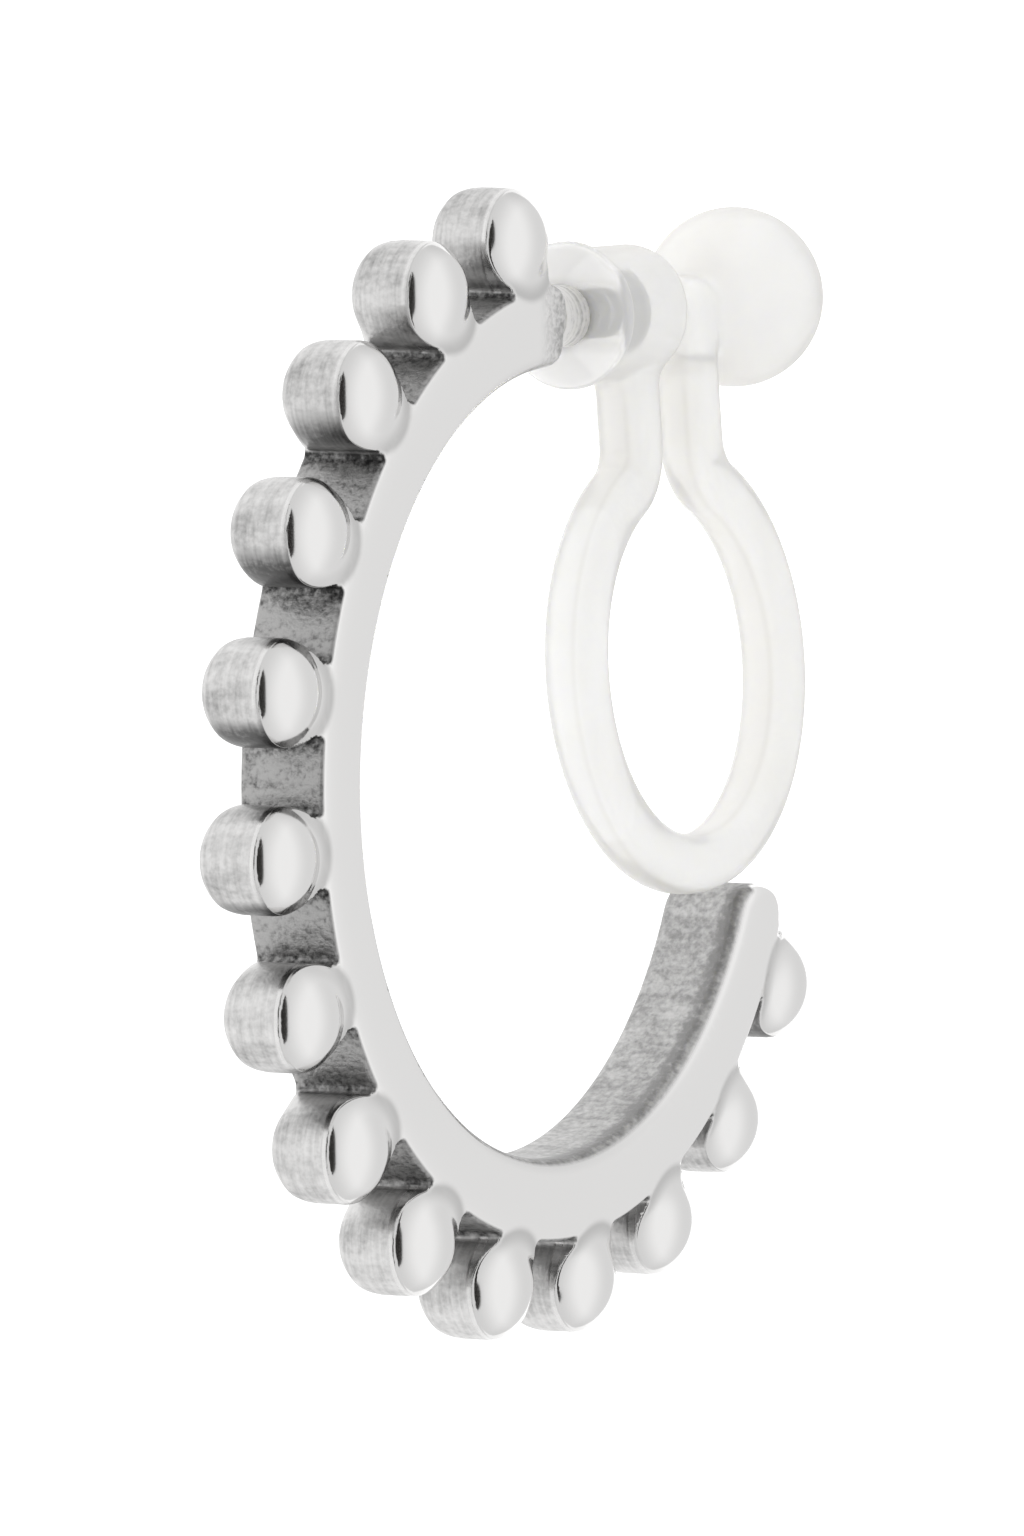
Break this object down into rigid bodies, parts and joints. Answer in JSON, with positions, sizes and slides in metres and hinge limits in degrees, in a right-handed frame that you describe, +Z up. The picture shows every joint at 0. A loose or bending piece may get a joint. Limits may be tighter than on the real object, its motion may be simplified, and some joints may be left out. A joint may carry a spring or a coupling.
{
  "type": "clip-on hoop earring",
  "caption": "Open steel hoop with a row of domed beads round its rim and a clear resin clip that grips the ear lobe.",
  "frame": {"origin": "on the surface that the earring lies on, under the middle of its bounding box", "axes": "+Z up from the surface, nearly along the hoop's axis and towards its polished front face; +X from the hoop's closed side towards the clip; +Y along the hoop's plane towards the peg, which is the top of the earring when it is worn"},
  "size_m": [0.0216, 0.0228, 0.0036],
  "materials": {
    "steel": "polished on the front face, the bead domes and the edges, brushed across the band on its inner and outer faces, satin on the bead sides",
    "resin": "clear, slightly milky moulded resin with a smooth surface"
  },
  "bodies": {
    "root": {"hoop": "steel", "clip": "resin"}
  },
  "joints": []
}
